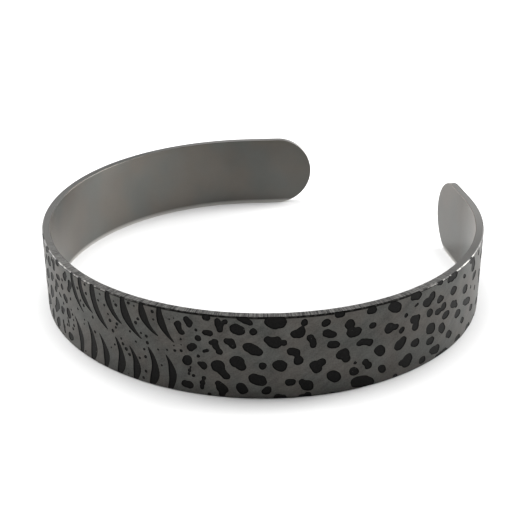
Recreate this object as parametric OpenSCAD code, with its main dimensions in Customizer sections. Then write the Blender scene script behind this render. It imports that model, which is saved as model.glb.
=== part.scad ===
// Open titanium cuff bracelet: one flat band, bent round the wrist and lying on its lower rim.
// The middle of the band is at the front (-Y) and the way in is at the back (+Y).

/* [Band] */
// Height of the band, from rim to rim
band_w = 12; // [8:0.5:20]
// Thickness of the metal
band_t = 1.2; // [0.8:0.1:2]
// Chamfer along the outer edges
edge_chamfer = 0.14; // [0.06:0.02:0.3]
// Rounding along the inner edges, where the band meets the skin
edge_round = 0.1; // [0.1:0.05:0.4]

/* [Bend] */
// Outer radius of the bend
bend_r = 33; // [26:0.5:38]
// Angle that the band is bent through on each side of its middle
bend_angle = 138; // [120:1:145]
// Length of each straight end, with its round tip
end_len = 11; // [10:0.5:16]

/* [Finish] */
// Colour of the satin metal
metal_colour = "dimgray"; // [dimgray, gray, slategray]

/* [Hidden] */

// The tips are half discs, as wide as the band
tip_r = band_w / 2;
straight_len = end_len - tip_r;

// The furthest point at the back is the outer edge of each tip
back_y = -bend_r * cos(bend_angle) + (end_len - edge_chamfer) * sin(bend_angle);
// Moves the centre of the bend so that the origin is midway between front and back
centre_y = (bend_r - back_y) / 2;

bend_facets = 240;
tip_facets = 96;
edge_facets = 32;

// Half of the band's section: x is the height above the middle, y the depth below the outer face
module half_section() {
    difference() {
        polygon([
            [0, 0],
            [tip_r - edge_chamfer, 0],
            [tip_r, edge_chamfer],
            [tip_r, band_t],
            [0, band_t]
        ]);
        translate([tip_r - edge_round, band_t - edge_round])
            difference() {
                square(2 * edge_round);
                circle(edge_round, $fn = edge_facets);
            }
    }
}

// The whole section, upright: x is the depth below the outer face, y the height above the middle
module upright_section() {
    for (end = [0, 1])
        mirror([0, end])
            mirror([1, -1])
                half_section();
}

// The round stretch, about the bend's own axis
module bent_stretch() {
    rotate([0, 0, -90 - bend_angle])
        rotate_extrude(angle = 2 * bend_angle, $fn = bend_facets)
            translate([bend_r, 0])
                mirror([1, 0])
                    upright_section();
}

// One end, from where the bend stops: x runs along the band and y points inwards
module straight_end() {
    rotate([90, 0, 90])
        linear_extrude(straight_len)
            upright_section();
    translate([straight_len, 0, 0])
        rotate([-90, -90, 0])
            rotate_extrude(angle = 180, $fn = tip_facets)
                half_section();
}

module cuff_band() {
    color(metal_colour)
        translate([0, centre_y, tip_r]) {
            bent_stretch();
            for (side = [0, 1])
                mirror([side, 0, 0])
                    rotate([0, 0, bend_angle])
                        translate([0, -bend_r, 0])
                            straight_end();
        }
}

cuff_band();
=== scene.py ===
import math
import random

import bmesh
import bpy
import numpy as np
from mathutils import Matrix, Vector


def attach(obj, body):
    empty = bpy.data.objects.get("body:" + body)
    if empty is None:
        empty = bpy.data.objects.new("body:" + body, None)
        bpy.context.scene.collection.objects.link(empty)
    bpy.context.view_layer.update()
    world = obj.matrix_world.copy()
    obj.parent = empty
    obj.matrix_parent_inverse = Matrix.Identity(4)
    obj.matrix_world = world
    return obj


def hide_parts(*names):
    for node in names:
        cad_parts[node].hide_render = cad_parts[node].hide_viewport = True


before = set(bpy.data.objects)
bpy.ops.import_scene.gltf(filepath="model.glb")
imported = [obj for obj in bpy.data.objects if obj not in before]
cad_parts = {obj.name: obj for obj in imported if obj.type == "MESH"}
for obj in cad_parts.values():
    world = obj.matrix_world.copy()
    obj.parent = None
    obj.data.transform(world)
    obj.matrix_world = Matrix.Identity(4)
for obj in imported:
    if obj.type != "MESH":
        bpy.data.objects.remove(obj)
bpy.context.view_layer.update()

scene = bpy.context.scene
mm = 0.001
tiny = 1e-6      # the least length that anything is divided by

# The strip that the cuff is bent from, in mm: along it from the middle of the front,
# up from the lower rim, and out from the outer face.
bandShape = {
    "height": 12.0,
    "thickness": 1.2,
    "bendRadius": 33.0,
    "bendAngle": 138.0,
    "endLength": 11.0,
    "chamfer": 0.14,
    "innerRound": 0.1,
    "blackLineBelowChamfer": 0.1,         # width of the dark line below the upper chamfer
    "roundSteps": 4,
    "tipSteps": 22,
    "sliceEvery": 1.0,        # slices across it let it bend smoothly
    "leastSlice": 0.03,
    "cutWithin": 0.001,       # corners this near a cut move onto it
    "mergeWithin": 0.0005,
    "shrinkWithin": 0.0004,
    "creaseAngle": 0.6,       # radians, past which an edge shades as a crease
}

# The least that each part of the flat strip faces outwards, from 1 for straight out to -1 for in
leastFacing = {"outer": 0.95, "corner": 0.2, "rim": -0.1}

halfBend = bandShape["bendRadius"] * math.radians(bandShape["bendAngle"])
halfStrip = halfBend + bandShape["endLength"]
backEdge = (
    -bandShape["bendRadius"] * math.cos(math.radians(bandShape["bendAngle"]))
    + (bandShape["endLength"] - bandShape["chamfer"]) * math.sin(math.radians(bandShape["bendAngle"]))
)
bendCentre = (bandShape["bendRadius"] - backEdge) / 2

# Each spot is one line of round lobes that run together: (along, up, radius) in mm.
# Charted on the half of the band to the right of the fold line; the left half mirrors it.
spotPattern = {
    "foldLine": 1.1,
    "repeatFrom": 23.4,       # the spots from here
    "repeatTo": 52.9,         # to here are there once more
    "repeatShift": 37.5,      # this far along
    "keepApart": 0.22,
    "depth": 0.05,
    "plugHeight": 0.25,
    "outline": 0.14,          # width of the darker ring in a mark,
    "outlineShare": 0.4,      # at most this share of the way in
    "blend": 0.12,            # how softly the lobes run together
    "wobble": 0.028,
    "waves": (5.1, 6.3, 11.0),
    "slantWave": 0.6,
    "step": 0.19,
    "mostCorners": 200,
    "seed": 7,
    "spots": [
        [(14.4, 11.6, .4), (14.8, 11.6, .4)],
        [(11.95, 11.0, .42), (12.3, 10.5, .5), (12.25, 10.2, .35)],
        [(16.0, 11.2, .42), (16.25, 10.6, .56), (16.35, 10.05, .4), (17.0, 11.2, .36)],
        [(18.85, 11.8, .4), (19.5, 11.6, .48), (20.0, 11.35, .4), (20.2, 11.05, .25)],
        [(22.8, 11.4, .85), (23.9, 11.3, .85), (23.3, 11.1, .75)],
        [(18.3, 10.3, .75), (18.9, 10.05, .65)],
        [(20.55, 9.95, .52)],
        [(14.45, 9.4, .42), (15.0, 9.35, .45)],
        [(13.2, 9.6, .25)],
        [(13.45, 8.45, .45)],
        [(10.55, 10.0, .32), (10.9, 10.15, .42), (10.9, 9.5, .4), (11.25, 8.95, .42)],
        [(12.35, 6.85, .5), (12.8, 7.15, .5)],
        [(14.2, 6.6, .2), (14.65, 6.8, .25)],
        [(13.45, 5.8, .24)],
        [(15.05, 8.0, .28), (15.7, 8.15, .45), (15.8, 7.45, .43), (16.2, 6.8, .45)],
        [(17.2, 8.4, .42), (17.7, 8.35, .5), (17.95, 7.8, .45)],
        [(19.9, 7.7, .7), (20.6, 7.3, .75), (21.15, 7.0, .6)],
        [(22.35, 8.8, .52), (22.95, 8.5, .7), (23.35, 8.2, .7), (23.6, 8.85, .42), (24.4, 8.3, .42)],
        [(11.85, 4.7, .58), (11.95, 5.1, .6)],
        [(13.5, 4.8, .24), (14.0, 4.6, .48), (14.1, 4.3, .42)],
        [(16.0, 4.65, .92), (16.5, 3.85, .6), (17.05, 3.25, .52)],
        [(18.2, 5.5, .75), (18.6, 5.6, .75), (19.0, 4.8, .65)],
        [(21.75, 4.95, .52)],
        [(23.7, 5.1, .72), (24.1, 4.9, .8)],
        [(12.1, 2.9, .2), (12.2, 3.5, .25), (12.35, 4.0, .15)],
        [(12.72, 2.75, .24)],
        [(13.8, 1.2, .32), (13.9, 1.9, .38), (14.12, 2.6, .3)],
        [(11.5, 1.35, .5), (12.05, 1.25, .6)],
        [(15.95, 2.1, .4), (16.3, 1.5, .65), (16.75, 1.2, .55), (16.5, .5, .45)],
        [(18.9, 1.7, .65), (19.2, 1.3, .68)],
        [(20.6, 3.1, .75), (21.3, 2.8, .8), (21.7, 2.6, .6)],
        [(22.1, 1.15, .5), (22.4, 1.4, .48)],
        [(14.8, .2, .28)],
        [(23.7, .15, .58), (24.3, .15, .48)],
        [(25.7, 9.5, .54), (26.4, 9.55, .68), (26.62, 10.1, .44), (26.95, 11.08, .47)],
        [(27.75, 8.8, .48), (28.1, 8.3, .4), (28.15, 7.75, .48)],
        [(29.7, 10.6, .5), (29.9, 10.8, .48)],
        [(29.85, 9.2, .55), (30.3, 9.0, .48), (30.75, 8.85, .5)],
        [(30.4, 7.5, .42), (30.9, 7.35, .58), (31.3, 7.3, .4)],
        [(31.3, 11.7, .45), (31.8, 11.7, .5)],
        [(33.0, 9.95, .74), (33.15, 8.72, .62), (33.6, 8.65, .68), (34.1, 8.75, .62)],
        [(35.85, 11.35, .52), (36.25, 11.4, .55)],
        [(36.3, 9.1, .52)],
        [(25.4, 7.0, .6), (26.05, 6.75, .52), (26.3, 5.6, .68)],
        [(28.35, 4.7, .66), (29.3, 5.0, .6), (28.75, 4.05, .66)],
        [(32.0, 5.7, .75), (32.5, 5.9, .6), (32.7, 5.0, .6)],
        [(33.95, 4.1, .26)],
        [(33.7, 2.9, .55), (34.0, 2.7, .55)],
        [(35.45, 3.85, .5), (35.95, 3.2, .54)],
        [(34.4, 6.85, .42), (34.9, 7.05, .46), (35.4, 6.9, .5), (36.0, 6.65, .52)],
        [(30.8, 2.85, .74), (31.3, 2.4, .78)],
        [(25.0, 2.4, .45), (25.5, 2.4, .5)],
        [(26.8, 2.35, .45), (27.4, 1.8, .75), (27.7, 1.6, .65)],
        [(34.3, 1.1, .85), (35.2, 1.0, .9), (36.2, .55, .75)],
        [(26.7, .1, .42), (27.6, .25, .5)],
        [(30.9, -.1, .4)],
        [(39.15, 11.15, .66), (39.65, 10.95, .78), (40.1, 10.6, .6)],
        [(42.8, 11.5, .6), (43.6, 11.4, .62)],
        [(43.1, 10.0, .2), (43.5, 10.15, .2)],
        [(41.6, 9.15, .32)],
        [(38.9, 8.0, .8), (39.98, 7.92, .46)],
        [(42.95, 8.1, .6), (43.65, 7.95, .6), (43.4, 6.85, .64)],
        [(40.85, 7.0, .4), (41.1, 7.2, .35)],
        [(45.15, 9.85, .64), (45.75, 9.65, .6), (46.35, 10.35, .68)],
        [(48.05, 9.25, .6), (48.65, 9.2, .42)],
        [(45.95, 8.0, .55), (46.3, 7.9, .5)],
        [(47.6, 7.5, .4), (48.1, 7.42, .54), (49.2, 7.74, .64)],
        [(37.4, 5.2, .72), (37.8, 4.8, .68)],
        [(40.7, 4.9, .8), (41.3, 5.4, .65)],
        [(43.2, 4.35, .48), (43.8, 4.25, .62)],
        [(46.4, 5.5, .8), (46.8, 5.2, .75)],
        [(46.4, 3.45, .55), (46.9, 3.4, .6)],
        [(48.95, 4.65, .63), (49.4, 4.15, .67)],
        [(49.6, 6.15, .6), (50.25, 6.15, .6)],
        [(37.9, 2.3, .48), (38.2, 1.95, .5)],
        [(41.2, 2.0, .46), (42.35, 2.15, .9), (42.2, 1.75, .74)],
        [(45.1, 1.0, .48), (45.4, 1.0, .5)],
        [(46.95, 1.8, .34), (47.6, 1.6, .66), (48.3, 1.5, .7)],
        [(40.35, .3, .38)],
        [(48.5, .1, .48), (49.3, .05, .55), (50.0, .12, .55), (50.6, .15, .52)],
        [(47.6, 11.8, .3), (48.2, 11.75, .38)],
        [(50.1, 11.45, .48), (50.95, 11.45, .56), (51.75, 11.5, .5)],
        [(51.3, 9.3, .65), (51.8, 9.2, .6)],
        [(54.4, 10.25, .28), (54.9, 10.05, .3)],
        [(51.5, 7.15, .56), (52.15, 6.9, .58), (52.8, 6.45, .32)],
        [(55.1, 7.9, .65), (55.7, 7.75, .6)],
        [(53.1, 4.9, .65), (53.7, 4.8, .6)],
        [(55.4, 5.75, .42), (56.05, 5.5, .56), (56.8, 5.3, .62), (57.5, 5.05, .5)],
        [(50.95, 2.7, .58), (51.5, 2.4, .56)],
        [(55.1, 3.05, .45), (55.5, 2.8, .45)],
        [(53.8, .4, .6), (54.3, .55, .55), (54.6, .3, .4)],
        [(56.9, 11.6, .5), (57.8, 11.2, .6), (58.2, 10.2, .85)],
        [(58.9, 8.3, .6), (59.6, 8.4, .45)],
        [(57.8, 7.1, .3)],
        [(58.7, 3.3, .55), (59.3, 3.1, .5)],
        [(57.7, .5, .6), (58.5, .4, .6)],
        [(60.8, 11.1, .45)],
        [(60.2, 5.8, .4)],
    ],
}

# Between the two spotted halves: tapered stripes from both rims, with small dots among them.
# Each stripe: (along, up) of its root and of its tip, sideways bow and half width in mm.
stripePattern = {
    "stripes": [
        ((-7.9, 12.4), (-5.4, 6.9), 0.7, 0.58),
        ((-5.9, 12.4), (-3.3, 7.6), 0.8, 0.70),
        ((-3.1, 12.4), (-0.4, 6.2), 0.9, 0.80),
        ((-0.2, 12.4), (2.2, 7.9), 0.7, 0.68),
        ((2.5, 12.4), (5.4, 6.6), 0.9, 0.80),
        ((5.5, 12.4), (7.9, 7.7), 0.8, 0.70),
        ((8.2, 12.4), (10.2, 7.2), 0.7, 0.68),
        ((-6.9, -0.4), (-7.9, 5.4), 0.9, 0.72),
        ((-4.3, -0.4), (-4.6, 5.9), 0.9, 0.80),
        ((-1.5, -0.4), (-2.2, 5.0), 0.8, 0.70),
        ((1.0, -0.4), (0.9, 5.6), 0.9, 0.78),
        ((3.8, -0.4), (3.3, 5.0), 0.8, 0.72),
        ((6.4, -0.4), (6.3, 5.7), 0.9, 0.78),
        ((9.1, -0.4), (8.9, 5.2), 0.8, 0.70),
    ],
    "taper": 0.55,
    "waviness": 0.12,
    "waves": 9,
    "corners": 40,
    "dots": 60,
    "dotTries": 4000,
    "dotRadius": (0.13, 0.27),
    "dotsAlong": (-9.0, 11.2),
    "dotsUp": (0.4, 11.6),
    "dotGap": 0.2,
    "seed": 41,
}

outerSlot, spotSlot, outlineSlot, rimSlot, cornerSlot, innerSlot = range(6)


def smoothDistance(lobes, x, y):
    # Distance to the merged outline of the lobes, less than 0 inside it
    blend = spotPattern["blend"]
    pull = sum(math.exp((radius - math.hypot(x - along, y - up)) / blend) for along, up, radius in lobes)
    return -blend * math.log(pull)


def slopeAt(lobes, x, y):
    # Straight out of the spot, one unit long
    near = 0.01
    slopeX = smoothDistance(lobes, x + near, y) - smoothDistance(lobes, x - near, y)
    slopeY = smoothDistance(lobes, x, y + near) - smoothDistance(lobes, x, y - near)
    length = math.hypot(slopeX, slopeY)
    return slopeX / length, slopeY / length


def ontoOutline(lobes, x, y):
    # A few steps straight towards it are near enough
    for _ in range(4):
        gap = smoothDistance(lobes, x, y)
        slopeX, slopeY = slopeAt(lobes, x, y)
        x -= gap * slopeX
        y -= gap * slopeY
    return x, y


def spotBorder(lobes, facts, rng):
    # Walks round the merged lobes in short steps, then roughens the walk a little
    step = facts["step"]
    along, up, radius = min(lobes, key=lambda lobe: lobe[0] - lobe[2])
    start = ontoOutline(lobes, along - radius, up)
    walk = [start]
    firstSteps = 5
    while len(walk) < facts["mostCorners"]:
        x, y = walk[-1]
        slopeX, slopeY = slopeAt(lobes, x, y)
        x, y = ontoOutline(lobes, x - slopeY * step, y + slopeX * step)
        left = math.hypot(x - start[0], y - start[1])
        if len(walk) < firstSteps or left > 0.5 * step:
            walk.append((x, y))
        if len(walk) > firstSteps and left < step:
            break
    phases = [rng.uniform(0, math.tau) for _ in range(3)]
    alongWaves, upWaves, slantWaves = facts["waves"]
    border, core = [], []
    for x, y in walk:
        slopeX, slopeY = slopeAt(lobes, x, y)
        wave = math.sin(alongWaves * x + phases[0]) + math.sin(upWaves * y + phases[1])
        wave += facts["slantWave"] * math.sin(slantWaves * (x + y) + phases[2])
        x += slopeX * wave * facts["wobble"]
        y += slopeY * wave * facts["wobble"]
        along, up, radius = min(lobes, key=lambda lobe: math.hypot(x - lobe[0], y - lobe[1]) - lobe[2])
        reach = math.hypot(x - along, y - up)
        inward = min(facts["outline"], facts["outlineShare"] * reach) / reach
        border.append((x, y))
        core.append((x + (along - x) * inward, y + (up - y) * inward))
    return border, core


def tooNear(lobes, placed, gap):
    for other in placed:
        for x, y, radius in lobes:
            for otherX, otherY, otherRadius in other:
                if math.hypot(x - otherX, y - otherY) < radius + otherRadius + gap:
                    return True
    return False


def chartedSpots(facts):
    placed = list(facts["spots"])
    for lobes in facts["spots"]:
        middle = sum(along for along, _, _ in lobes) / len(lobes)
        if facts["repeatFrom"] < middle < facts["repeatTo"]:
            moved = [(along + facts["repeatShift"], up, radius) for along, up, radius in lobes]
            if not tooNear(moved, placed, facts["keepApart"]):
                placed.append(moved)
    fold = 2 * facts["foldLine"]
    mirrored = [[(fold - along, up, radius) for along, up, radius in lobes] for lobes in placed]
    return placed + mirrored


def insideOutline(points, x, y):
    inside = False
    lastX, lastY = points[-1]
    for pointX, pointY in points:
        if (pointY > y) != (lastY > y):
            crossing = pointX + (y - pointY) * (lastX - pointX) / (lastY - pointY)
            if x < crossing:
                inside = not inside
        lastX, lastY = pointX, pointY
    return inside


def clearOfShapes(x, y, radius, outlines, gap):
    for points in outlines:
        if insideOutline(points, x, y):
            return False
        for pointX, pointY in points:
            if math.hypot(x - pointX, y - pointY) < radius + gap:
                return False
    return True


def setInOrder(build):
    # The operators leave corners and faces in an order that varies from run to run, so they are
    # laid out again by place, and every run gives the same mesh
    places = sorted(build.verts, key=lambda vert: tuple(vert.co))
    rank = {vert: number for number, vert in enumerate(places)}
    faces = []
    for face in build.faces:
        corners = [rank[vert] for vert in face.verts]
        first = corners.index(min(corners))
        faces.append((corners[first:] + corners[:first], face.material_index))
    ordered = bmesh.new()
    verts = [ordered.verts.new(vert.co) for vert in places]
    for corners, slot in sorted(faces):
        face = ordered.faces.new([verts[corner] for corner in corners])
        face.material_index = slot
    ordered.normal_update()
    build.free()
    return ordered


def aroundCircle(vert):
    # Turned a little, so that no corner of the circle lies where the count starts
    return (math.atan2(vert.co.y, vert.co.x) + 0.01) % math.tau


def addMark(build, border, core):
    # A round cap with an outline ring, drawn out to the mark's own border and core
    made = bmesh.ops.create_circle(build, cap_ends=True, segments=len(border), radius=1)
    cap = made["verts"][0].link_faces[0]
    bmesh.ops.inset_individual(build, faces=[cap], thickness=0.15, use_even_offset=True)
    outer = sorted(made["verts"], key=aroundCircle)
    inner = sorted(cap.verts, key=aroundCircle)
    for vert in inner:
        for face in vert.link_faces:
            face.material_index = outlineSlot
    cap.material_index = spotSlot
    for vert, (x, y) in zip(outer + inner, border + core):
        vert.co = (x, y, 0)
    return border


def stripeBorder(stripe, facts, rng):
    (rootX, rootY), (tipX, tipY), bow, halfWidth = stripe
    length = math.hypot(tipX - rootX, tipY - rootY)
    sideX, sideY = (tipY - rootY) / length, (rootX - tipX) / length
    phase = rng.uniform(0, math.tau)
    outline = spotPattern["outline"]
    share = spotPattern["outlineShare"]
    border, core = [], []
    for corner in range(facts["corners"]):
        angle = math.tau * corner / facts["corners"]
        run = (1 - math.cos(angle)) / 2
        width = halfWidth * math.sin(angle) * (1 - facts["taper"] * run)
        width *= 1 + facts["waviness"] * math.sin(facts["waves"] * run + phase)
        for points, inward in ((border, 0), (core, outline)):
            shorter = 0.5 + (run - 0.5) * (1 - 2 * inward / length)
            offset = width - math.copysign(min(inward, abs(width) * share), width)
            offset += bow * 4 * shorter * (1 - shorter)
            points.append((
                rootX + (tipX - rootX) * shorter + sideX * offset,
                rootY + (tipY - rootY) * shorter + sideY * offset,
            ))
    return border, core


def makeSpotCutter():
    # Every mark as a shallow closed plug, from the pocket's floor to above the outer face
    rng = random.Random(spotPattern["seed"])
    build = bmesh.new()
    outlines = [addMark(build, *spotBorder(lobes, spotPattern, rng)) for lobes in chartedSpots(spotPattern)]
    facts = stripePattern
    rng = random.Random(facts["seed"])
    for stripe in facts["stripes"]:
        outlines.append(addMark(build, *stripeBorder(stripe, facts, rng)))
    dots = 0
    for _ in range(facts["dotTries"]):
        if dots == facts["dots"]:
            break
        radius = rng.uniform(*facts["dotRadius"])
        x = rng.uniform(*facts["dotsAlong"])
        y = rng.uniform(*facts["dotsUp"])
        if clearOfShapes(x, y, radius, outlines, facts["dotGap"]):
            outlines.append(addMark(build, *spotBorder([(x, y, radius)], spotPattern, rng)))
            dots += 1
    bmesh.ops.translate(build, verts=build.verts[:], vec=(0, 0, -spotPattern["depth"]))
    raised = bmesh.ops.extrude_face_region(build, geom=build.faces[:], use_keep_orig=True)
    lifted = [item for item in raised["geom"] if isinstance(item, bmesh.types.BMVert)]
    bmesh.ops.translate(build, verts=lifted, vec=(0, 0, spotPattern["plugHeight"]))
    for face in build.faces:
        if abs(face.normal.z) < 0.5:
            face.material_index = outlineSlot        # the walls of the plugs
    bmesh.ops.recalc_face_normals(build, faces=build.faces[:])
    print("spots, stripes and dots:", len(outlines))
    return setInOrder(build), outlines


def fromRim(along, up):
    # Depth of a place inside the strip's outline, and the way straight out of the rim there
    tip = bandShape["height"] / 2
    beyond = np.sign(along) * np.maximum(np.abs(along) - (halfStrip - tip), 0)
    reach = np.maximum(np.hypot(beyond, up - tip), tiny)
    return tip - reach, beyond / reach, (up - tip) / reach


def rimCrossings(points, up):
    # Where an outline crosses one height of the strip
    found = []
    lastX, lastY = points[-1]
    for pointX, pointY in points:
        if (pointY > up) != (lastY > up):
            found.append(pointX + (up - pointY) * (lastX - pointX) / (lastY - pointY))
        lastX, lastY = pointX, pointY
    return found


def blankStrip(lineUp):
    # The flat strip with its round tips and its edges, and a cut for the near-black line below the upper
    # chamfer
    height = bandShape["height"]
    build = bmesh.new()
    bmesh.ops.create_cube(build, size=1)
    bmesh.ops.scale(build, verts=build.verts[:], vec=(2 * halfStrip, height, bandShape["thickness"]))
    bmesh.ops.translate(build, verts=build.verts[:], vec=(0, height / 2, -bandShape["thickness"] / 2))
    corners = [edge for edge in build.edges if edge.verts[0].co.xy == edge.verts[1].co.xy]
    bmesh.ops.bevel(
        build, geom=corners, offset=height / 2, offset_type="OFFSET", affect="EDGES",
        segments=bandShape["tipSteps"], profile=0.5, material=-1, clamp_overlap=True)
    bmesh.ops.remove_doubles(build, verts=build.verts[:], dist=bandShape["cutWithin"])
    outerEdge = (0, bandShape["chamfer"], 1)
    innerEdge = (-bandShape["thickness"], bandShape["innerRound"], bandShape["roundSteps"])
    for level, offset, segments in (outerEdge, innerEdge):
        border = [
            edge for edge in build.edges
            if all(abs(vert.co.z - level) < bandShape["shrinkWithin"] for vert in edge.verts)
        ]
        bmesh.ops.bevel(
            build, geom=border, offset=offset, offset_type="OFFSET", affect="EDGES",
            segments=segments, profile=0.5, material=-1, clamp_overlap=False)
    outside = [face for face in build.faces if face.normal.z > leastFacing["outer"]]
    around = list(dict.fromkeys(part for face in outside for part in (*face.verts, *face.edges)))
    bmesh.ops.bisect_plane(
        build, geom=around + outside, dist=bandShape["cutWithin"],
        plane_co=(0, lineUp, 0), plane_no=(0, 1, 0))
    return build


def sliceStrip(build, outlines):
    # Slices that let it bend, and one wherever a mark crosses a chamfer
    every = bandShape["sliceEvery"]
    slices = int(halfBend / every)
    cuts = [index * every for index in range(-slices, slices + 1)]
    cuts += [-halfBend, halfBend]
    halfChamfer = bandShape["chamfer"] / 2
    for points in outlines:
        for up in (halfChamfer, bandShape["height"] - halfChamfer):
            cuts += rimCrossings(points, up)
    last = -math.inf
    for cut in sorted(cuts):
        if cut - last < bandShape["leastSlice"]:
            continue
        last = cut
        bmesh.ops.bisect_plane(
            build, geom=build.verts[:] + build.edges[:] + build.faces[:], dist=bandShape["cutWithin"],
            plane_co=(cut, 0, 0), plane_no=(1, 0, 0))


def makeStrip(outlines):
    # A near-black line below the upper chamfer, along the top edge only
    lineUp = bandShape["height"] - bandShape["chamfer"] - bandShape["blackLineBelowChamfer"]
    build = blankStrip(lineUp)
    sliceStrip(build, outlines)
    bmesh.ops.recalc_face_normals(build, faces=build.faces[:])
    for face in build.faces:
        facing = face.normal.z
        middle = face.calc_center_median()
        if facing > leastFacing["outer"]:
            face.material_index = outlineSlot if middle.y > lineUp else outerSlot
        elif facing > leastFacing["corner"]:
            face.material_index = cornerSlot
            for points in outlines:
                if insideOutline(points, middle.x, middle.y):
                    face.material_index = outlineSlot
        elif facing > leastFacing["rim"]:
            face.material_index = rimSlot
        else:
            face.material_index = innerSlot
    return setInOrder(build)


def headingAt(along):
    # Angle that the band has turned through, and how far past the bend the point is
    bent = np.clip(along, -halfBend, halfBend)
    return bent / bandShape["bendRadius"], along - bent


def bendPoints(flat):
    along, up, out = flat[:, 0], flat[:, 1], flat[:, 2]
    turn, beyond = headingAt(along)
    reach = bandShape["bendRadius"] + out
    bent = np.empty_like(flat)
    bent[:, 0] = np.sin(turn) * reach + np.cos(turn) * beyond
    bent[:, 1] = bendCentre - np.cos(turn) * reach + np.sin(turn) * beyond
    bent[:, 2] = up
    return bent


def bendNormals(flatNormals, along):
    turn, _ = headingAt(along)
    bent = np.empty_like(flatNormals)
    bent[:, 0] = np.cos(turn) * flatNormals[:, 0] + np.sin(turn) * flatNormals[:, 2]
    bent[:, 1] = np.sin(turn) * flatNormals[:, 0] - np.cos(turn) * flatNormals[:, 2]
    bent[:, 2] = flatNormals[:, 1]
    return bent


def edgeNormals(mesh, places, cornerNormals):
    # The rim and the inner face shade flat, and the edge between them as a true arc
    slots = np.empty(len(mesh.polygons), dtype=int)
    mesh.polygons.foreach_get("material_index", slots)
    slots = np.repeat(slots, 3)      # for each corner of the triangles
    inward, outX, outY = fromRim(places[:, 0], places[:, 1])
    radius = bandShape["innerRound"]
    aside = np.clip(1 - inward / radius, 0, 1)
    below = np.clip((bandShape["thickness"] + places[:, 2]) / radius - 1, -1, 0)
    below[slots == rimSlot] = 0
    aside[slots == rimSlot] = 1
    arcs = np.stack([outX * aside, outY * aside, below], axis=1)
    arcs /= np.maximum(np.linalg.norm(arcs, axis=1, keepdims=True), tiny)
    onArc = (slots == rimSlot) | (slots == innerSlot)
    return np.where(onArc[:, None], arcs, cornerNormals)


def meshObject(name, build, finishes):
    mesh = bpy.data.meshes.new(name)
    build.to_mesh(mesh)
    build.free()
    for finish in finishes:
        mesh.materials.append(finish)
    thing = bpy.data.objects.new(name, mesh)
    scene.collection.objects.link(thing)
    return thing


def markedStrip(finishes):
    # The flat strip with every mark carved into it, as triangles
    cutterBuild, outlines = makeSpotCutter()
    print("strip before bending")
    strip = meshObject("stripBlank", makeStrip(outlines), finishes)
    cutter = meshObject("spotPlugs", cutterBuild, finishes)
    carve = strip.modifiers.new("spots", "BOOLEAN")
    carve.operation = "DIFFERENCE"
    carve.solver = "EXACT"
    carve.object = cutter
    print("marking the spots")
    bpy.context.view_layer.update()
    marked = bpy.data.meshes.new_from_object(strip.evaluated_get(bpy.context.evaluated_depsgraph_get()))
    bpy.data.objects.remove(strip)
    bpy.data.objects.remove(cutter)

    build = bmesh.new()
    build.from_mesh(marked)
    build = setInOrder(build)
    bmesh.ops.remove_doubles(build, verts=build.verts[:], dist=bandShape["mergeWithin"])
    bmesh.ops.dissolve_degenerate(build, edges=build.edges[:], dist=bandShape["shrinkWithin"])
    bmesh.ops.triangulate(build, faces=build.faces[:])
    build = setInOrder(build)
    for face in build.faces:
        face.smooth = True
    for edge in build.edges:
        edge.smooth = edge.calc_face_angle(0) < bandShape["creaseAngle"]
    build.to_mesh(marked)
    build.free()
    return marked


def makeCuff(finishes):
    marked = markedStrip(finishes)
    print("bending it round the wrist")
    flat = np.empty(len(marked.vertices) * 3)
    marked.vertices.foreach_get("co", flat)
    flat = flat.reshape(-1, 3)
    cornerVerts = np.empty(len(marked.loops), dtype=int)
    marked.loops.foreach_get("vertex_index", cornerVerts)
    flatNormals = np.empty(len(marked.loops) * 3)
    marked.corner_normals.foreach_get("vector", flatNormals)
    flatNormals = edgeNormals(marked, flat[cornerVerts], flatNormals.reshape(-1, 3))
    normals = bendNormals(flatNormals, flat[cornerVerts, 0])
    place = marked.attributes.new("bandPlace", "FLOAT_VECTOR", "POINT")
    place.data.foreach_set("vector", (flat * mm).ravel())
    marked.vertices.foreach_set("co", (bendPoints(flat) * mm).ravel())
    marked.update()
    marked.normals_split_custom_set(normals.tolist())
    marked.name = "cuff"
    cuff = bpy.data.objects.new("cuff", marked)
    scene.collection.objects.link(cuff)
    print("cuff triangles:", len(marked.polygons))
    return cuff


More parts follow.
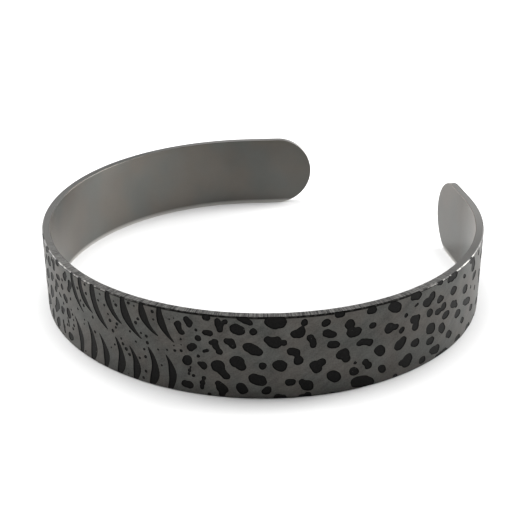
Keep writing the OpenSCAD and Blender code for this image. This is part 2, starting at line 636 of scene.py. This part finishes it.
class Wire:
    # A socket that can be used in sums
    def __init__(self, tree, socket=None):
        self.tree = tree
        self.socket = socket

    def node(self, kind, settings=None, sockets=None, output=0):
        made = self.tree.nodes.new(kind)
        for name, value in (settings or {}).items():
            if name == "stops":
                ramp = made.color_ramp
                while len(ramp.elements) < len(value):
                    ramp.elements.new(1)
                for element, (position, shade) in zip(ramp.elements, value):
                    element.position = position
                    element.color = (shade, shade, shade, 1)
            else:
                setattr(made, name, value)
        for name, value in (sockets or {}).items():
            if isinstance(value, Wire):
                self.tree.links.new(value.socket, made.inputs[name])
            else:
                made.inputs[name].default_value = value
        return Wire(self.tree, made.outputs[output])

    def maths(self, operation, first, second=None):
        sockets = {0: first}
        if second is not None:
            sockets[1] = second
        return self.node("ShaderNodeMath", {"operation": operation}, sockets)

    def __add__(self, other):
        return self.maths("ADD", self, other)

    def __radd__(self, other):
        return self.maths("ADD", other, self)

    def __sub__(self, other):
        return self.maths("SUBTRACT", self, other)

    def __rsub__(self, other):
        return self.maths("SUBTRACT", other, self)

    def __mul__(self, other):
        return self.maths("MULTIPLY", self, other)

    def __rmul__(self, other):
        return self.maths("MULTIPLY", other, self)

    def mixed(self, low, high):
        # Colour between low and high, by this mask
        return self.node(
            "ShaderNodeMix", {"data_type": "RGBA"}, {0: self, 6: low, 7: high}, 2)

    def tinted(self, tint):
        # This colour times another
        return self.node(
            "ShaderNodeMix", {"data_type": "RGBA", "blend_type": "MULTIPLY"}, {0: 1.0, 6: self, 7: tint}, 2)

    def turned(self, angle):
        # A place turned about the way out of the band
        return self.node(
            "ShaderNodeVectorRotate", {"rotation_type": "Z_AXIS"}, {"Vector": self, "Angle": angle})

    def scaled(self, along, up, out):
        # A place stretched by these numbers
        return self.node(
            "ShaderNodeVectorMath", {"operation": "MULTIPLY"}, {0: self, 1: (along, up, out)})

    def noise(self, scale, detail=2.0, roughness=0.5):
        return self.node(
            "ShaderNodeTexNoise", {"noise_dimensions": "3D"},
            {"Vector": self, "Scale": scale, "Detail": detail, "Roughness": roughness})

    def ramp(self, *stops):
        return self.node("ShaderNodeValToRGB", {"stops": stops}, {0: self})

    def beyond(self, start, end):
        # Mask that grows from 0 to 1 between two distances, either way
        return ((self.maths("ABSOLUTE", self) - start) * (1 / (end - start))).ramp((0, 0), (1, 1))

    def inMm(self, axis):
        # One part of a place: X is along the band, Y up it and Z out of it
        return self.node("ShaderNodeSeparateXYZ", None, {0: self}, axis) * (1 / mm)

    def bump(self, strength, depth):
        return self.node("ShaderNodeBump", None, {"Height": self, "Strength": strength, "Distance": depth})


def newFinish(name):
    finish = bpy.data.materials.new(name)
    finish.use_nodes = True
    tree = finish.node_tree
    shader = tree.nodes["Principled BSDF"]
    start = Wire(tree)
    place = start.node("ShaderNodeAttribute", {"attribute_name": "bandPlace"}, None, "Vector")
    return finish, shader, place


def connect(finish, shader, **sockets):
    names = {
        "colour": "Base Color", "roughness": "Roughness", "metallic": "Metallic", "normal": "Normal",
        "gloss": "Specular IOR Level", "glow": "Emission Color", "glowStrength": "Emission Strength",
    }
    for name, value in sockets.items():
        socket = shader.inputs[names[name]]
        if isinstance(value, Wire):
            finish.node_tree.links.new(value.socket, socket)
        else:
            socket.default_value = value


def grey(level, warmth=0.03):
    return (level * (1 + warmth), level, level * (1 - 1.8 * warmth), 1)


def darkToLight(shade, facts):
    low, high = facts["contrast"]
    return shade.ramp((low, 0), (high, 1)).mixed(
        grey(facts["dark"], facts["warmth"]), grey(facts["light"], facts["warmth"]))


def patchTint(place, facts):
    # Broad patches that lean towards green or brown
    patches = place.noise(facts["tintPatch"], 2.0).ramp((0.4, 0), (0.6, 1))
    return patches.mixed(facts["green"], facts["brown"])


def strokesAcross(place, scale):
    # Noise drawn out up and through the band
    return place.scaled(1, 0.05, 0.05).noise(scale, 2.0, 0.6)


# Greys are linear and scales are per metre. Warmth turns a grey towards brown, contrast gives the
# noise levels of the dark and the light grey, and bump is a strength and a depth in metres.
outerFinish = {
    "dark": 0.051, "light": 0.096, "warmth": 0.02, "contrast": (0.38, 0.62),
    "grain": 4200, "cloud": 330, "scratch": 1500, "scratchAngle": 0.9,
    "brown": (1.04, 1.0, 0.95, 1), "green": (0.98, 1.01, 0.98, 1), "tintPatch": 210,
    "roughness": (0.44, 0.14), "bump": (0.6, 0.00004),
}


def makeOuter():
    facts = outerFinish
    finish, shader, place = newFinish("satin outer face")
    grain = place.noise(facts["grain"], 3.0, 0.65)
    cloud = place.noise(facts["cloud"], 4.0, 0.6)
    scratch = place.turned(facts["scratchAngle"]).scaled(1, 0.08, 1).noise(facts["scratch"], 2.0, 0.6)
    shade = grain * 0.42 + cloud * 0.38 + scratch * 0.2
    colour = darkToLight(shade, facts).tinted(patchTint(place, facts))
    least, spread = facts["roughness"]
    roughness = least + grain * spread
    bump = (grain * 0.7 + scratch * 0.3).bump(*facts["bump"])
    connect(finish, shader, colour=colour, metallic=1.0, roughness=roughness, normal=bump)
    return finish


blackFinish = {
    "spotDark": 0.0033, "spotLight": 0.0085, "spotRoughness": 0.5, "spotGloss": 0.065,
    "lineDark": 0.001, "lineLight": 0.003, "lineRoughness": 0.55, "lineGloss": 0.03,
    "grain": 5200, "contrast": (0.35, 0.7), "bump": (0.35, 0.00002),
    "fleck": 2600, "fleckFrom": 0.74, "fleckTo": 0.78, "fleckShare": 0.6, "fleckGrey": 0.05,
}


def makeBlack(name, part):
    facts = blackFinish
    finish, shader, place = newFinish(name)
    grain = place.noise(facts["grain"], 2.0, 0.6)
    fleck = place.noise(facts["fleck"], 1.0, 0.4).ramp((facts["fleckFrom"], 0), (facts["fleckTo"], 1))
    low, high = facts["contrast"]
    blackened = grain.ramp((low, 0), (high, 1)).mixed(
        grey(facts[part + "Dark"]), grey(facts[part + "Light"]))
    colour = (fleck * facts["fleckShare"]).mixed(blackened, grey(facts["fleckGrey"]))
    bump = grain.bump(*facts["bump"])
    connect(
        finish, shader, colour=colour, metallic=0.0, roughness=facts[part + "Roughness"],
        gloss=facts[part + "Gloss"], normal=bump)
    return finish


# The sawn and burnt rim: crossed by fine strokes and stained along the front, rubbed smooth
# further away, and lightest at the tips. The roughness is its middle and its spread.
rimFinish = {
    "dark": 0.04, "light": 0.25, "warmth": 0.02, "contrast": (0.41, 0.6),
    "grain": 5200, "stroke": 6200, "stain": 700, "roughness": (0.44, 0.2), "bump": (0.6, 0.00004),
    "smoothLevel": 0.155, "raggedMiddle": 16.5, "smoothFrom": 31.5, "smoothTo": 37.0,
    "tipLevel": 0.27, "tipFrom": 60.0, "tipTo": 74.0,
}


def makeRim():
    facts = rimFinish
    finish, shader, place = newFinish("cut rim")
    grain = place.noise(facts["grain"], 3.0, 0.65)
    stroke = strokesAcross(place, facts["stroke"])
    stain = place.noise(facts["stain"], 2.0, 0.5)
    shade = grain * 0.3 + stroke * 0.6 + stain * 0.1
    along = place.inMm("X")
    smooth = (along - facts["raggedMiddle"]).beyond(facts["smoothFrom"], facts["smoothTo"])
    atTip = along.beyond(facts["tipFrom"], facts["tipTo"])
    colour = smooth.mixed(darkToLight(shade, facts), grey(facts["smoothLevel"], facts["warmth"]))
    colour = atTip.mixed(colour, grey(facts["tipLevel"], facts["warmth"]))
    height = (grain * 0.4 + stroke * 0.6) * (1 - smooth)
    middle, spread = facts["roughness"]
    roughness = middle + (grain - 0.5) * (1 - smooth) * spread
    bump = height.bump(*facts["bump"])
    connect(finish, shader, colour=colour, metallic=1.0, roughness=roughness, normal=bump)
    return finish


cornerFinish = {
    "dark": 0.01, "light": 0.056, "warmth": 0.035, "contrast": (0.46, 0.57),
    "grain": 3800, "stroke": 1300, "roughness": 0.36, "bump": (0.2, 0.00003),
}


def makeCorner():
    facts = cornerFinish
    finish, shader, place = newFinish("ragged corner")
    grain = place.noise(facts["grain"], 3.0, 0.65)
    stroke = strokesAcross(place, facts["stroke"])
    colour = darkToLight(grain * 0.35 + stroke * 0.65, facts)
    bump = grain.bump(*facts["bump"])
    connect(finish, shader, colour=colour, metallic=1.0, roughness=facts["roughness"], normal=bump)
    return finish


# The inner face: painted shade makes it a little darker towards its lower rim and darker at the tips, a
# painted reflection of the floor lightens it along its lower edge, and its upper edge's rounding is matt
# with painted shade
innerFinish = {
    "dark": 0.121, "light": 0.133, "warmth": 0.026, "contrast": (0.35, 0.65),
    "grain": 4500, "cloud": 170, "bump": (0.25, 0.00002),
    "brown": (1.05, 1.0, 0.94, 1), "green": (0.97, 1.0, 0.98, 1), "tintPatch": 120,
    # The lower rim, the upper rounding and the tips get painted shade, and the lower edge a painted
    # reflection of the floor
    "lower": 0.95, "lowShadeFrom": 0.1, "lowShadeTo": 0.95,
    "floorGlintLevel": 0.48, "floorGlintFrom": 0.1, "floorGlintTo": 0.75,
    "roughness": (0.36, 0.08), "edgeRoughness": 0.3, "edge": 0.76,
    "tip": 0.77, "tipFrom": 66.0, "tipTo": 76.0,
}


def makeInner():
    facts = innerFinish
    finish, shader, place = newFinish("smooth inner face")
    grain = place.noise(facts["grain"], 2.0, 0.55)
    cloud = place.noise(facts["cloud"], 3.0, 0.5)
    up = place.inMm("Y")
    atTip = place.inMm("X").beyond(facts["tipFrom"], facts["tipTo"])
    # Painted shade: a little darker towards the lower rim
    rise = (up * (1 / bandShape["height"])).ramp((facts["lowShadeFrom"], 0), (facts["lowShadeTo"], 1))
    # Painted reflection of the bright floor along the lower edge
    paintedFloorGlint = up.ramp((facts["floorGlintFrom"], 1), (facts["floorGlintTo"], 0))
    depth = (place.inMm("Z") + bandShape["thickness"]) * (1 / bandShape["innerRound"])
    # The upper edge's rounding, which is rougher and carries painted shade
    edge = depth.ramp((0.02, 0), (0.3, 1)) * (1 - paintedFloorGlint)
    plain = grey(1, 0)
    paintedLowShade = rise.mixed(grey(facts["lower"], 0), plain)
    # Painted shade on the face at the tips, and on the upper rounding away from them
    paintedTipShade = atTip.mixed(plain, grey(facts["tip"], 0))
    paintedEdgeShade = atTip.mixed(grey(facts["edge"], 0), plain)
    colour = darkToLight(grain * 0.3 + cloud * 0.7, facts).tinted(patchTint(place, facts))
    colour = colour.tinted(paintedLowShade).tinted(edge.mixed(paintedTipShade, paintedEdgeShade))
    colour = paintedFloorGlint.mixed(colour, grey(facts["floorGlintLevel"], facts["warmth"]))
    least, spread = facts["roughness"]
    roughness = least + grain * spread + edge * facts["edgeRoughness"]
    bump = grain.bump(*facts["bump"])
    connect(finish, shader, colour=colour, metallic=1.0, roughness=roughness, normal=bump)
    return finish


# The camera, at the photo's angle
cameraPlace = {
    "bearing": 37.799, "elevation": 26.128, "distance": 0.160766, "target": (0.003164, -0.003581, 0.006),
    "lens": 73.579, "sensor": 36, "nearest": 0.01, "furthest": 20,
}


def towards(bearing, rise):
    bearing, rise = math.radians(bearing), math.radians(rise)
    return Vector((
        math.sin(bearing) * math.cos(rise),
        -math.cos(bearing) * math.cos(rise),
        math.sin(rise),
    ))


def placeCamera():
    back = towards(cameraPlace["bearing"], cameraPlace["elevation"])
    lensData = bpy.data.cameras.new("camera")
    lensData.lens = cameraPlace["lens"]
    lensData.sensor_width = cameraPlace["sensor"]
    lensData.clip_start = cameraPlace["nearest"]
    lensData.clip_end = cameraPlace["furthest"]
    camera = bpy.data.objects.new("camera", lensData)
    scene.collection.objects.link(camera)
    camera.location = Vector(cameraPlace["target"]) + back * cameraPlace["distance"]
    camera.rotation_euler = back.to_track_quat("Z", "Y").to_euler()
    scene.camera = camera


# The floor glows a little away from the cuff, where the soft boxes fall off, so it stays white.
# Each soft box: turn from the camera's side of the cuff, rise, width, height and power.
studio = {
    "floorSize": 3.0, "floorShade": 0.7, "floorRoughness": 0.8, "floorGloss": 0.1,
    "floorGlow": 1.0, "glowFrom": 0.09, "glowTo": 0.45,
    "skyLevel": 0.02,
    "boxDistance": 0.6,
    "softBoxes": [
        (180, 85, 0.38, 0.36, 3.9),
        (164, 22, 0.55, 0.33, 0.27),
        (145, 16, 0.3, 0.25, 0.22),
        (125, 22, 0.4, 0.4, 2.0),
        (-127, 22, 0.4, 0.4, 2.2),
        (-88, 22, 0.35, 0.35, 2.1),
        (108, 16, 0.3, 0.25, 5.7),
        (-108, 16, 0.3, 0.25, 2.8),
        (-148, 16, 0.3, 0.25, 0.6),
    ],
}


def makeFloor():
    build = bmesh.new()
    bmesh.ops.create_grid(build, x_segments=1, y_segments=1, size=studio["floorSize"])
    finish = bpy.data.materials.new("pale floor")
    finish.use_nodes = True
    place = Wire(finish.node_tree).node("ShaderNodeTexCoord", None, None, "Object")
    reach = place.node("ShaderNodeVectorMath", {"operation": "LENGTH"}, {0: place}, "Value")
    away = reach.beyond(studio["glowFrom"], studio["glowTo"])
    glow = away.mixed(grey(0, 0), grey(studio["floorGlow"], 0))
    connect(
        finish, finish.node_tree.nodes["Principled BSDF"], colour=grey(studio["floorShade"], 0),
        roughness=studio["floorRoughness"], gloss=studio["floorGloss"], glow=glow, glowStrength=1.0)
    floor = meshObject("floor", build, [finish])


def makeLights():
    world = bpy.data.worlds.new("studio")
    scene.world = world
    world.use_nodes = True
    sky = world.node_tree.nodes["Background"]
    sky.inputs["Color"].default_value = (1, 1, 1, 1)
    sky.inputs["Strength"].default_value = studio["skyLevel"]
    for turn, rise, width, tall, power in studio["softBoxes"]:
        away = towards(cameraPlace["bearing"] + turn, rise)
        lamp = bpy.data.lights.new("soft box", "AREA")
        lamp.shape = "RECTANGLE"
        lamp.size, lamp.size_y = width, tall
        lamp.energy = power
        box = bpy.data.objects.new("soft box", lamp)
        scene.collection.objects.link(box)
        box.location = away * studio["boxDistance"]
        box.rotation_euler = away.to_track_quat("Z", "Y").to_euler()


print("camera, floor and lights")
scene.view_settings.view_transform = "Standard"
placeCamera()
makeFloor()
makeLights()

cuff = makeCuff([
    makeOuter(),
    makeBlack("blackened spot", "spot"),
    makeBlack("spot outline", "line"),
    makeRim(),
    makeCorner(),
    makeInner(),
])
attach(cuff, "root")
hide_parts("cuff_band")
